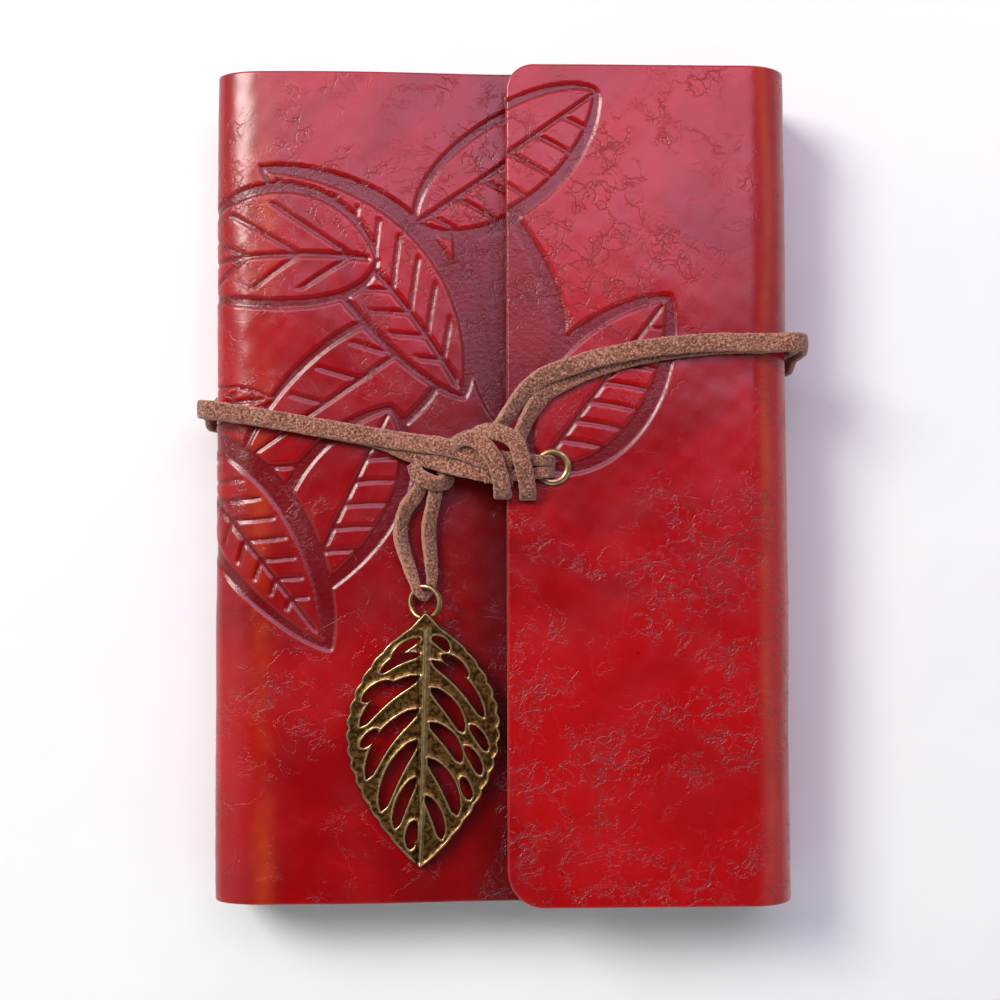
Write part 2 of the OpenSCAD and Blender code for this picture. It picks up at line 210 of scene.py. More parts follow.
# ---- helpers for materials
class Shader:
    """A material's node tree, with short calls for the nodes used here."""

    def __init__(self, name):
        self.material = bpy.data.materials.new(name)
        self.material.use_nodes = True
        self.tree = self.material.node_tree
        self.surface = self.tree.nodes["Principled BSDF"]
        self.place = self.node("TexCoord").outputs["Object"]

    def node(self, kind, props=(), **inputs):
        """A new node with its properties and inputs set. A socket given as an input is linked to it."""
        made = self.tree.nodes.new("ShaderNode" + kind)
        for key, value in dict(props).items():
            setattr(made, key, value)
        for key, value in inputs.items():
            self.put(made.inputs[key.replace("_", " ")], value)
        return made

    def put(self, socket, value):
        if isinstance(value, bpy.types.NodeSocket):
            self.tree.links.new(value, socket)
        else:
            socket.default_value = value

    def set(self, **values):
        for key, value in values.items():
            self.put(self.surface.inputs[key.replace("_", " ")], value)

    def stretch(self, scale):
        return self.node("Mapping", Vector=self.place, Scale=scale).outputs["Vector"]

    def noise(self, scale, detail=4.0, rough=0.55, warp=0.0, vector=None):
        sizes = dict(Scale=scale, Detail=detail, Roughness=rough, Distortion=warp)
        return self.node("TexNoise", Vector=vector or self.place, **sizes).outputs["Fac"]

    def cracks(self, scale, vector, width):
        """1 on the lines between cells, 0 inside them."""
        made = self.node("TexVoronoi", {"feature": "DISTANCE_TO_EDGE"}, Vector=vector, Scale=scale)
        return self.ramp(made.outputs["Distance"], 0, width, 1, 0)

    def lines(self, scale, width):
        """1 along the wandering lines where a noise crosses its middle value."""
        off = self.math("ABSOLUTE", self.math("SUBTRACT", self.noise(scale, 5, 0.62, 0.8), 0.5))
        return self.ramp(off, 0, width, 1, 0)

    def warped(self, scale, amount):
        """The object's coordinates, pushed about by noise."""
        made = self.node("TexNoise", Vector=self.place, Scale=scale, Detail=3)
        push = self.node("VectorMath", {"operation": "MULTIPLY_ADD"})
        for socket, value in zip(push.inputs, (made.outputs["Color"], (amount,) * 3, self.place)):
            self.put(socket, value)
        return push.outputs["Vector"]

    def ramp(self, value, low, high, to_low=0.0, to_high=1.0):
        limits = dict(From_Min=low, From_Max=high, To_Min=to_low, To_Max=to_high)
        smooth = {"interpolation_type": "SMOOTHSTEP"}
        return self.node("MapRange", smooth, Value=value, **limits).outputs["Result"]

    def math(self, operation, a, b=0.0, c=0.0):
        made = self.node("Math", {"operation": operation})
        for socket, value in zip(made.inputs, (a, b, c)):
            self.put(socket, value)
        return made.outputs["Value"]

    def mix(self, share, a, b):
        a, b = ((*side, 1) if isinstance(side, tuple) else side for side in (a, b))
        return self.node("Mix", {"data_type": "RGBA"}, Factor=share, A=a, B=b).outputs["Result"]

    def value(self, name):
        return self.node("Attribute", {"attribute_name": name}).outputs["Fac"]

    def bump(self, height, distance, strength=1.0, under=None):
        below = {} if under is None else {"Normal": under}
        made = self.node("Bump", Strength=strength, Distance=distance, Height=height, **below)
        return made.outputs["Normal"]


# the red leather's colours
RED_DARK, RED_MAIN, RED_WARM = (0.26, 0.0005, 0.002), (0.41, 0.001, 0.003), (0.52, 0.006, 0.006)
RED_CREASE, RED_SPECK = (0.13, 0.0005, 0.002), (0.10, 0.001, 0.002)
# the next line's first colour is a painted shade, laid on the front cover towards the flap
RED_PAINTED_SHADE, RED_PRESSED = (0.055, 0.0005, 0.001), (0.1, 0.0005, 0.003)
RUBBED_ORANGE = (0.44, 0.042, 0.009)


def make_red_leather():
    """Glossy pull-up leather: mottled, crackled in patches, dark where pressed, orange at bends, and
    painted shade on the front cover towards the flap.
    """
    s = Shader("red_leather")
    veil = s.noise(24, 4, 0.6, 1.2)
    patches = s.ramp(veil, 0.46, 0.6)
    net = s.cracks(230, s.warped(330, 0.0048), 0.06)
    creases = s.math("MAXIMUM", net, s.math("MULTIPLY", s.lines(170, 0.016), 0.8))
    crackled = s.math("MULTIPLY", patches, s.ramp(s.noise(150, 3), 0.4, 0.56))
    creases = s.math("MULTIPLY", creases, crackled)
    threads = s.math("MULTIPLY", s.lines(75, 0.009), s.ramp(s.noise(60, 3), 0.42, 0.6))
    pores = s.noise(2600, 2)
    mottle = s.noise(26, 6, 0.62, 0.7)
    pressed = s.value("relief")
    rubbed = s.math("MULTIPLY", s.value("rub"), s.ramp(s.noise(40, 4, 0.6), 0.36, 0.66, 0.1, 0.95))
    colour = s.mix(s.ramp(mottle, 0.36, 0.66), RED_DARK, RED_MAIN)
    layers = (
        (s.ramp(s.noise(9, 2), 0.5, 0.75, 0, 0.5), RED_WARM),
        (s.math("MULTIPLY", creases, 0.6), RED_CREASE),
        (s.ramp(s.noise(900, 1), 0.74, 0.8, 0, 0.7), RED_SPECK),
        (rubbed, RUBBED_ORANGE),
        # painted shade on the front cover towards the flap
        (s.math("MULTIPLY", s.value("painted_shade"), 0.75), RED_PAINTED_SHADE),
        (s.math("MULTIPLY", pressed, 0.7), RED_PRESSED),
    )
    for share, layer in layers:
        colour = s.mix(share, colour, layer)
    height = s.math("MULTIPLY_ADD", creases, -1.0, s.math("MULTIPLY", threads, -0.3))
    grain = s.math("MULTIPLY", s.noise(1100, 3), s.ramp(pressed, 0, 1, 0.15, 1.0))
    normal = s.bump(pores, 0.00003, 0.35)
    normal = s.bump(grain, 0.0001, 0.8, normal)
    normal = s.bump(height, 0.00011, 0.8, normal)
    roughness = s.ramp(s.noise(70, 4), 0.3, 0.7, 0.22, 0.34)
    roughness = s.math("MULTIPLY_ADD", creases, 0.12, roughness)
    s.set(Base_Color=colour, Roughness=roughness, Normal=normal, Specular_IOR_Level=0.5)
    s.set(Coat_Weight=0.2, Coat_Roughness=0.2)
    return s.material


def make_cut_leather():
    """The cut edge: pale pink backing fibre under a thin red skin."""
    s = Shader("cut_leather")
    layer = s.noise(600, 4, vector=s.stretch((1, 0.3, 4)))
    s.set(Base_Color=s.mix(s.ramp(layer, 0.35, 0.7), (0.50, 0.10, 0.10), (0.74, 0.36, 0.33)))
    s.set(Roughness=0.8, Normal=s.bump(layer, 0.0001, 0.6))
    return s.material


def make_lining():
    """The inner face: dark red split leather with a short nap."""
    s = Shader("leather_lining")
    nap = s.noise(1500, 3)
    colour = s.mix(s.ramp(s.noise(60, 5), 0.35, 0.7), (0.16, 0.012, 0.012), (0.24, 0.025, 0.02))
    s.set(Base_Color=s.mix(s.ramp(nap, 0.4, 0.7, 0, 0.4), colour, (0.10, 0.006, 0.006)))
    s.set(Roughness=0.9, Normal=s.bump(nap, 0.00012, 0.8), Sheen_Weight=0.25)
    return s.material


def make_suede():
    """Brown suede cord: mottled nap, paler on its cut sides."""
    s = Shader("brown_suede")
    tufts = s.noise(1900, 3, 0.75)
    hairs = s.noise(4200, 2, 0.7)
    colour = s.mix(s.ramp(s.noise(130, 4), 0.32, 0.7), (0.235, 0.086, 0.048), (0.35, 0.145, 0.084))
    colour = s.mix(s.ramp(tufts, 0.51, 0.63, 0, 0.9), colour, (0.60, 0.32, 0.21))
    colour = s.mix(s.ramp(tufts, 0.50, 0.38, 0, 0.9), colour, (0.075, 0.022, 0.012))
    colour = s.mix(s.math("MULTIPLY", s.value("side"), 0.4), colour, (0.58, 0.31, 0.19))
    height = s.math("MULTIPLY_ADD", hairs, 0.5, tufts)
    s.set(Base_Color=colour, Roughness=0.95, Normal=s.bump(height, 0.0003, 0.9))
    s.set(Sheen_Weight=0.35, Sheen_Roughness=0.5, Specular_IOR_Level=0.2)
    return s.material


def make_brass(name, wear_and_highlight=None):
    """Antique brass: brown patina, worn bright where the named attribute is high; on the leaf that
    attribute also carries a painted highlight.
    """
    s = Shader(name)
    worn = s.ramp(s.noise(420, 4, 0.6), 0.38, 0.66)
    dark = s.mix(s.ramp(s.noise(900, 4, 0.65), 0.4, 0.62), (0.05, 0.022, 0.006), (0.21, 0.112, 0.03))
    if wear_and_highlight:
        raised = s.ramp(s.value(wear_and_highlight), 0.15, 0.95)
        share = s.math("MULTIPLY", raised, s.ramp(worn, 0, 1, 0.55, 1.0))
    else:
        share = s.ramp(worn, 0, 1, 0.35, 0.9)
    colour = s.mix(share, dark, (0.68, 0.48, 0.24))
    rough = s.ramp(share, 0, 1, 0.5, 0.27)
    s.set(Base_Color=colour, Metallic=1.0, Roughness=rough)
    s.set(Normal=s.bump(s.noise(1500, 3), 0.00006, 0.5))
    return s.material


def make_steel():
    """Nickel-plated ring mechanism with faint drawn scratches."""
    s = Shader("ring_steel")
    drawn = s.noise(500, 3, vector=s.stretch((6, 0.15, 6)))
    tint = s.mix(s.ramp(s.noise(40, 3), 0.4, 0.7), (0.66, 0.66, 0.68), (0.78, 0.78, 0.79))
    s.set(Base_Color=tint, Metallic=1.0, Roughness=s.ramp(drawn, 0.3, 0.7, 0.14, 0.3))
    s.set(Normal=s.bump(drawn, 0.00001, 0.4))
    return s.material


def make_paper():
    """Cream writing paper, clouded, with a faint darker fibre."""
    s = Shader("page_paper")
    fibre = s.noise(700, 5, 0.65)
    cloud = s.noise(45, 4)
    colour = s.mix(s.ramp(cloud, 0.35, 0.7), (0.80, 0.72, 0.55), (0.87, 0.80, 0.65))
    s.set(Base_Color=s.mix(s.ramp(fibre, 0.45, 0.7, 0, 0.35), colour, (0.70, 0.60, 0.43)))
    s.set(Roughness=0.85, Normal=s.bump(fibre, 0.00003, 0.4))
    return s.material


RED = make_red_leather()
CUT = make_cut_leather()
LINING = make_lining()
SUEDE = make_suede()
BRASS = make_brass("antique_brass")
LEAF_BRASS = make_brass("leaf_brass", "wear_and_highlight")
STEEL = make_steel()
PAPER = make_paper()


# the floor, in metres
FLOOR_HALF, FLOOR_Z = 1.6, -0.0003


def make_floor():
    mesh = bpy.data.meshes.new("floor")
    corners = ((-1, -1), (1, -1), (1, 1), (-1, 1))
    points = [(FLOOR_HALF * x, FLOOR_HALF * y, FLOOR_Z) for x, y in corners]
    mesh.from_pydata(points, [], [(0, 1, 2, 3)])
    s = Shader("floor_cloth")
    folds = s.noise(7, 3)
    s.set(Base_Color=s.mix(s.ramp(folds, 0.3, 0.7), (0.90, 0.93, 0.90), (0.94, 0.97, 0.93)))
    s.set(Roughness=0.9, Normal=s.bump(s.noise(14, 4), 0.004, 0.25))
    new_object("floor", mesh, s.material)


# ---- the leather
def polyline(points, spacing=0.1):
    """A path through the points, as evenly spaced samples."""
    points = np.asarray(points, float)
    reach = np.concatenate([[0], np.cumsum(np.linalg.norm(np.diff(points, axis=0), axis=1))])
    at = np.linspace(0, reach[-1], max(2, round(reach[-1] / spacing)))
    return np.stack([np.interp(at, reach, points[:, k]) for k in range(points.shape[1])], axis=1)


def quarter(centre, reach, start, end):
    """A quarter of an ellipse, between two angles in degrees."""
    angles = np.radians(np.linspace(start, end, 40))
    return [(centre[0] + reach[0] * math.cos(a), centre[1] + reach[1] * math.sin(a)) for a in angles]


def front_sag(x):
    """The front cover is fullest over the pages' hinge side, and dips towards the flap."""
    return 0.5 * np.exp(-(((x + 42) / 16) ** 2)) - 1.5 * smooth_step(-30, 4, x)


def side_path(side, top_z, bend, end_x):
    """The middle of the leather's thickness, from the back's middle to the free edge."""
    low_centre = side * (FOLD_X - LOW_BEND)
    top_centre = side * (FOLD_X - bend[0])
    turn = 180 if side < 0 else 0
    low_start = 270 if side < 0 else -90
    points = [(0, BACK_Z)]
    points += quarter((low_centre, BACK_Z + LOW_BEND), (LOW_BEND, LOW_BEND), low_start, turn)
    points += quarter((top_centre, top_z - bend[1]), bend, turn, 90)
    flat = np.linspace(top_centre, end_x, 90)[1:]
    points += [(x, top_z) for x in flat]
    path = polyline(points)
    if side < 0:
        over = path[:, 1] > top_z - 1e-6
        path[over, 1] += (front_sag(path[:, 0]) - front_sag(top_centre))[over]
    return path


class Section:
    """A side path, with the distance along it, its outward normal and its unrolled X."""

    def __init__(self, side, top_z, bend, end_x):
        self.path = side_path(side, top_z, bend, end_x)
        ahead = np.gradient(self.path, axis=0)
        ahead /= np.linalg.norm(ahead, axis=1, keepdims=True)
        self.outward = np.stack([-ahead[:, 1], ahead[:, 0]], axis=1) * (1 if side < 0 else -1)
        steps = np.linalg.norm(np.diff(self.path, axis=0), axis=1)
        self.reach = np.concatenate([[0], np.cumsum(steps)])
        self.length = self.reach[-1]
        bend_end = side * (FOLD_X - bend[0])
        flat = (self.path[:, 1] > top_z - 2) & (side * self.path[:, 0] <= side * bend_end)
        self.bend_at = self.reach[flat][0]
        self.bend_end = bend_end
        self.side = side

    def at(self, s):
        """X, Z and the outward normal at a distance along the path."""
        columns = [np.interp(s, self.reach, c) for c in (*self.path.T, *self.outward.T)]
        return np.stack(columns, axis=-1)

    def unrolled(self, s):
        """X as it would be if the side and the bend were laid flat beside the cover."""
        return self.bend_end - self.side * (s - self.bend_at)

    def where(self, x, z):
        """The distance along the path of the sample nearest to a point."""
        return self.reach[np.argmin(np.hypot(self.path[:, 0] - x, self.path[:, 1] - z))]


# A generic spray of embossed leaves, from the rearmost to the foremost. Each side of a leaf is its
# widest reach, how blunt its base is, how blunt its tip is, and the width of its outline. Veins are
# their spacing, how far they lean to the tip, the gap they leave to the outline, and whether the
# left and the right have them.
SPRAY = [
    dict(base=(1, 13), tip=(-4, 69), bow=0, left=(8.6, 0.5, 0.35, 6), right=(15.2, 0.7, 1.15, 4),
         veins=(4.4, 0.9, 2, 1, 0), sunk=0.85),
    dict(base=(-19, 58), tip=(21.5, 86.5), bow=0, left=(10.6, 0.55, 0.6, 2.1),
         right=(13.2, 0.6, 0.7, 3.3), veins=(7.2, 0.6, 0, 0, 1), sunk=0),
    dict(base=(-12, 37), tip=(-58, 4.5), bow=0, left=(14.5, 0.6, 0.8, 2), right=(11.5, 0.6, 0.8, 2),
         veins=(9.5, 0.9, 1.5, 0, 1), sunk=0),
    dict(base=(-8, 19), tip=(-54, 71), bow=-0.055, left=(10.4, 0.75, 0.9, 1.9),
         right=(15.4, 0.7, 0.8, 4.4), veins=(6.4, 1.0, 1.6, 1, 1), sunk=0),
    dict(base=(-27.5, 50), tip=(-76, 47), bow=-0.05, left=(12.3, 0.5, 0.7, 2.4),
         right=(16.4, 0.55, 0.7, 2.6), veins=(11.5, 1.6, 2, 1, 1), sunk=0),
    dict(base=(-46, -28), tip=(-24.5, 17.5), bow=0, left=(14, 0.7, 0.8, 3), right=(12, 0.9, 0.62, 3.6),
         veins=(5.7, 0.62, 0, 0, 1), sunk=0),
    dict(base=(-75, 11), tip=(-37.7, -37), bow=0, left=(15, 0.6, 0.8, 5.2), right=(8.8, 0.6, 0.75, 2.8),
         veins=(5.4, 0.75, 1.4, 1, 1), sunk=0.08),
    dict(base=(-76, 14), tip=(-50.6, 18.8), bow=0.04, left=(4.6, 0.6, 0.8, 0.6),
         right=(4, 0.6, 0.8, 0.6), veins=(6, 1.2, 0.8, 1, 1), sunk=0),
    dict(base=(8, 3), tip=(37.3, 41.3), bow=0, left=(13.6, 0.6, 0.8, 3.5), right=(13.2, 0.6, 0.8, 3.8),
         veins=(5.3, 0.62, 0, 0, 1), sunk=0),
]
# half the width of a pressed wall, half the width of a vein, and the depth of the embossing
WALL, VEIN_HALF, RELIEF_DEEP = 0.2, 0.52, 0.37


def groove(distance, half):
    return 1 - smooth_step(half - WALL, half + WALL, np.abs(distance))


def press_leaf(field, x, y, base, tip, bow, left, right, veins, sunk):
    """Presses one leaf into the field, in place of what was inside its outline."""
    span = np.subtract(tip, base)
    length = np.hypot(*span)
    ahead = span / length
    t = ((x - base[0]) * ahead[0] + (y - base[1]) * ahead[1]) / length
    safe = np.clip(t, 2e-3, 1 - 2e-3)
    curve = bow * length * 4 * safe * (1 - safe)
    lateral = (y - base[1]) * ahead[0] - (x - base[0]) * ahead[1] - curve
    wide, root, point, band = (np.where(lateral > 0, a, b) for a, b in zip(left, right))
    peak = root / (root + point)

    def half(at):
        return wide * (at / peak) ** root * ((1 - at) / (1 - peak)) ** point

    slope = (half(safe + 1e-3) - half(safe - 1e-3)) / (2e-3 * length)
    inward = (half(safe) - np.abs(lateral)) / np.sqrt(1 + slope**2)
    beyond = np.maximum(-t, t - 1) * length
    inward = np.where(beyond > 0, -beyond - np.abs(lateral), inward)
    inside = smooth_step(-WALL, WALL, inward)
    band = band * (0.45 + 0.55 * half(safe) / wide)
    pressed = 1 - smooth_step(band - WALL, band + WALL, inward)
    spacing, lean, gap, *sided = veins
    along = safe * length
    reach = np.abs(lateral)
    rib = groove(lateral, 0.8 - 0.4 * safe) * smooth_step(0.0, 0.6, inward - band - 0.5 * gap)
    shifted = (along - lean * reach + 0.012 * reach**2) / spacing
    near = (shifted % 1.0 - 0.5) * spacing / math.hypot(1, lean)
    vein = groove(near, VEIN_HALF * (1.1 - 0.4 * reach / wide))
    vein *= smooth_step(gap - 0.3, gap + 0.2, inward - band)
    vein *= (shifted > 0) & (shifted < 0.82 * length / spacing)
    vein *= np.where(lateral > 0, *sided)
    pressed = np.maximum(pressed, np.maximum(rib, 0.85 * vein))
    return field * (1 - inside) + np.maximum(pressed, sunk) * inside


def spray_relief(x, y):
    """How deeply the leather is pressed at each point, from 0 to 1."""
    field = np.zeros_like(x)
    for leaf in SPRAY:
        field = press_leaf(field, x, y, **leaf)
    return field


# the shallow dent that the lace leaves in the back, from spine to fore edge
DENT_SPINE_Y, DENT_FORE_Y, DENT_DEEP, DENT_HALF = 17.0, 30.0, 1.25, 4.5


def lace_dent(x, y, z):
    middle = DENT_SPINE_Y + (DENT_FORE_Y - DENT_SPINE_Y) * (x + FOLD_X) / (2 * FOLD_X)
    across = 1 - smooth_step(DENT_HALF, DENT_HALF + 1.6, np.abs(y - middle))
    return DENT_DEEP * across * (1 - smooth_step(3.0, 8.0, z))


# a rubbed stripe along each side: its unrolled place and its half width
SPINE_STRIPE, FORE_STRIPE = (-53, 2.2), (58, 1.2)
# how far from the head and the tail the rows make room for a rounded corner
CORNER_REACH = 14.0
# every how many columns and rows of the outer face the inner face has a line
INNER_STEP = 6


def round_corners(y_grid, to_free, radii):
    """Moves the rows in at rounded corners, and measures how far the cut edge is there."""
    for sign, radius in zip((1, -1), radii):
        d = np.clip(to_free, 0, radius)
        inset = radius - np.sqrt(np.maximum(radius**2 - (radius - d) ** 2, 0))
        share = np.clip((sign * y_grid - (TOP - CORNER_REACH)) / CORNER_REACH, 0, 1)
        y_grid = y_grid - sign * inset * share
        past_free = np.clip(radius - to_free, 0, None)
        past_side = np.clip(np.abs(y_grid) - (TOP - radius), 0, None)
        to_edge = radius - np.hypot(past_free, past_side)
        in_corner = (sign * y_grid > TOP - radius) & (to_free < radius)
        to_free = np.where(in_corner, np.minimum(to_free, to_edge), to_free)
    return y_grid, to_free


def slab_faces(columns, rows, flip):
    """The fine outer face, the coarse inner face and the cut rim, with their material slots."""
    count = columns * rows
    index = np.arange(count).reshape(columns, rows)
    quads = grid_cells(index)
    rim = np.concatenate([index[:-1, 0], index[-1, :-1], index[:0:-1, -1], index[0, :0:-1]])
    if flip:
        quads, rim = quads[:, ::-1], rim[::-1]
    rim = rim.tolist()
    outer = [tuple(q) for q in quads.tolist()]
    inner = coarse_cells(index + count, INNER_STEP, not flip)
    cut = [(b, a, a + count, b + count) for a, b in zip(rim, rim[1:] + rim[:1])]
    return outer + inner + cut, [0] * len(outer) + [1] * len(inner) + [2] * len(cut)


def leather_piece(name, section, s_values, y_values, corners=None):
    """A slab of leather over a stretch of a section. One with corners ends at the free edge."""
    s_grid, y_grid = np.meshgrid(s_values, y_values, indexing="ij")
    to_free = section.length - s_grid
    if corners:
        y_grid, to_free = round_corners(y_grid, to_free, corners)
    x, z, out_x, out_z = section.at(s_grid.ravel()).T
    y = y_grid.ravel()
    place = np.stack([x, y, z], axis=1)
    unrolled = section.unrolled(s_grid.ravel())
    relief = spray_relief(unrolled, y)
    relief *= smooth_step(section.bend_at - 15, section.bend_at - 9, s_grid.ravel())
    # both faces wave a little, and the outer one has fine creases beside the embossing
    shift = 0.13 * waves(place, 3, 48) + 0.05 * waves(place, 4, 17) - lace_dent(x, y, z)
    edge = TOP - np.abs(y)
    if corners:
        edge = np.minimum(edge, to_free.ravel())
    crease = 0.03 * waves(place, 5, 5.5) * (1 - relief)
    up = HALF + shift + crease - RELIEF_DEEP * relief - edge_drop(edge)
    down = -HALF + shift
    outer = np.stack([x + out_x * up, y, z + out_z * up], axis=1)
    inner = np.stack([x + out_x * down, y, z + out_z * down], axis=1)
    faces, slots = slab_faces(*s_grid.shape, section.side > 0)
    mesh = mesh_from(name, np.concatenate([outer, inner]), faces, slots)

    stripe_at, stripe_half = SPINE_STRIPE if section.side < 0 else FORE_STRIPE
    stripe = np.exp(-(((unrolled - stripe_at + waves(place, 8, 60)) / stripe_half) ** 2))
    # painted shade: the front cover's colour is darkened towards the flap, standing in for the shade
    # under the flap's edge
    under_flap = 0.5 * smooth_step(-34, -10, unrolled) * (1 - smooth_step(25, 55, y))
    painted_shade = (under_flap + 0.5 * smooth_step(-9, -1, unrolled)) * (section.side < 0)
    for key, values in {"relief": relief, "painted_shade": painted_shade, "rub": stripe * (1 - relief)}.items():
        add_values(mesh, key, np.concatenate([values, np.zeros(len(values))]))
    drop_unused(mesh)
    return new_object(name, mesh, RED, LINING, CUT)


def coarse_cells(index, step, flip):
    """Faces over a grid that use every step-th line inside it, and every point on its border."""
    columns, rows = index.shape
    cuts_i = sorted({*range(0, columns - 1, step), columns - 1})
    cuts_j = sorted({*range(0, rows - 1, step), rows - 1})
    last_i, last_j = columns - 1, rows - 1
    faces = []
    for i0, i1 in zip(cuts_i, cuts_i[1:]):
        for j0, j1 in zip(cuts_j, cuts_j[1:]):
            low = index[i0 : i1 + 1, j0] if j0 == 0 else index[[i0, i1], j0]
            far = index[i1, j0 : j1 + 1] if i1 == last_i else index[i1, [j0, j1]]
            high = index[i0 : i1 + 1, j1] if j1 == last_j else index[[i0, i1], j1]
            near = index[i0, j0 : j1 + 1] if i0 == 0 else index[i0, [j0, j1]]
            loop = [*low[:-1], *far[:-1], *high[:0:-1], *near[:0:-1]]
            faces.append(tuple(int(k) for k in (loop[::-1] if flip else loop)))
    return faces


def grid_cells(index):
    """The four points of every cell of a grid."""
    cells = [index[:-1, :-1], index[1:, :-1], index[1:, 1:], index[:-1, 1:]]
    return np.stack(cells, axis=-1).reshape(-1, 4)


def drop_unused(mesh):
    """Deletes the points that no face uses."""
    work = bmesh.new()
    work.from_mesh(mesh)
    unused = [point for point in work.verts if not point.link_faces]
    bmesh.ops.delete(work, geom=unused, context="VERTS")
    work.to_mesh(mesh)
    work.free()


def y_rows(spacing, *marks):
    """Rows from tail to head, closer together at the two cut edges."""
    low, high = -TOP + EDGE_STEPS, TOP - EDGE_STEPS[::-1]
    inner = runs((low[-1], spacing), *marks, (high[0], None))
    return np.concatenate([low[:-1], inner, high[1:]])


def free_columns(*marks):
    """Columns that end at a free edge, closer together there."""
    end = marks[-1][0]
    inner = runs(*marks[:-1], (end - EDGE_STEPS[-1], None))
    return np.concatenate([inner, end - EDGE_STEPS[-2::-1]])


# the folds, as (distance from the book's middle, height), for both sides
LOW_FOLD = {"start": (FOLD_X - LOW_BEND, BACK_Z), "end": (FOLD_X, BACK_Z + LOW_BEND)}
SPINE_FOLD = {"start": (FOLD_X, FRONT_Z - SPINE_BEND[1]), "end": (FOLD_X - SPINE_BEND[0], FRONT_Z)}
FORE_FOLD = {"start": (FOLD_X, FLAP_Z - FORE_BEND[1]), "end": (FOLD_X - FORE_BEND[0], FLAP_Z)}


def blend_at_fold(piece):
    """Bakes a piece's placement into its points."""
    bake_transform(piece)


# spacings of the leather's columns and rows: over the embossing, on bends, on flat parts
FINE, BENT, FLAT = 0.38, 0.8, 2.2
# how far in from the flap's edge the embossing reaches, and the X past which the flap hides the cover
FLAP_EMBOSSED, HIDDEN_X = 42, 4


def lower_columns(section, middle):
    """Columns from the middle of the back to half way up a side."""
    bend_start = section.where(section.side * (FOLD_X - LOW_BEND), BACK_Z)
    return runs((0, FLAT), (bend_start - 3, BENT), (middle, None))


def make_leather():
    left = Section(-1, FRONT_Z, SPINE_BEND, front_high[0])
    right = Section(1, FLAP_Z, FORE_BEND, FLAP_EDGE)
    spine_mid = left.where(-FOLD_X, SPINE_MID_Z)
    strip_mid = right.where(FOLD_X, STRIP_MID_Z)
    fine = FINE * 1.0
    under_flap = left.length - (front_high[0] - HIDDEN_X)
    front_columns = free_columns((spine_mid, fine), (under_flap, 2.4), (left.length, None))
    leaf_side = right.length - FLAP_EMBOSSED
    flap_columns = free_columns((strip_mid, 0.9), (leaf_side, fine), (right.length, None))
    coarse = y_rows(1.4)
    # name, section, columns, rows, corner radii, CAD nodes, the bodies that it joins, its fold
    slabs = (
        ("leather_back_and_lower_spine", left, lower_columns(left, spine_mid), coarse, None,
         ("back_cover", "spine"), ("back", "spine_panel"), LOW_FOLD),
        ("leather_front_cover", left, front_columns, y_rows(0.9, (-44, fine)), (5, 5),
         ("front_cover",), ("spine_panel", "front"), SPINE_FOLD),
        ("leather_back_and_lower_strip", right, lower_columns(right, strip_mid), coarse, None,
         ("fore_edge_strip",), ("back", "fore_edge"), LOW_FOLD),
        ("leather_flap", right, flap_columns, y_rows(1.0, (-1, fine)), (6, 8),
         ("flap",), ("fore_edge", "flap_panel"), FORE_FOLD),
    )
    for name, section, columns, rows, corners, nodes, bodies, fold in slabs:
        slab = leather_piece(name, section, columns, rows, corners)
        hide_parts(*nodes)
        blend_at_fold(slab)


# ---- the lace
def smooth_rows(rows, spacing):
    """Rows of numbers that start with a point, as a smooth evenly stepped curve through them."""
    rows = np.asarray(rows, float)
    gaps = np.linalg.norm(np.diff(rows[:, :3], axis=0), axis=1)
    at = np.concatenate([[0], np.cumsum(gaps)])
    slopes = np.gradient(rows, at, axis=0)
    s = np.linspace(0, at[-1], max(2, round(at[-1] / spacing) + 1))
    k = np.clip(np.searchsorted(at, s, side="right") - 1, 0, len(gaps) - 1)
    h = gaps[k][:, None]
    t = ((s - at[k]) / gaps[k])[:, None]
    ends = (2 * t**3 - 3 * t**2 + 1) * rows[k] + (3 * t**2 - 2 * t**3) * rows[k + 1]
    return ends + (t**3 - 2 * t**2 + t) * h * slopes[k] + (t**3 - t**2) * h * slopes[k + 1]


def lengths(vectors):
    return np.linalg.norm(vectors, axis=-1, keepdims=True)


def skin(count, around):
    """Faces over a row of rings of points, closed at both ends."""
    index = np.arange(count * around).reshape(count, around)
    over = np.roll(index, -1, axis=1)
    quads = np.stack([index[:-1], index[1:], over[1:], over[:-1]], axis=-1).reshape(-1, 4)
    ends = [tuple(index[0].tolist()), tuple(index[-1, ::-1].tolist())]
    return [tuple(q) for q in quads.tolist()] + ends


def lace_rows(points, width=4.0, thick=1.5):
    """Fills in a route's rows: x, y, z, turn, then if they differ lean, width and thickness."""
    return [(*p[:4], *(p[4:] or (0, width, thick))) for p in points]


# how square a strand's section is: 1 is an ellipse, 0 a rectangle with sharp corners
SQUARE = 0.55


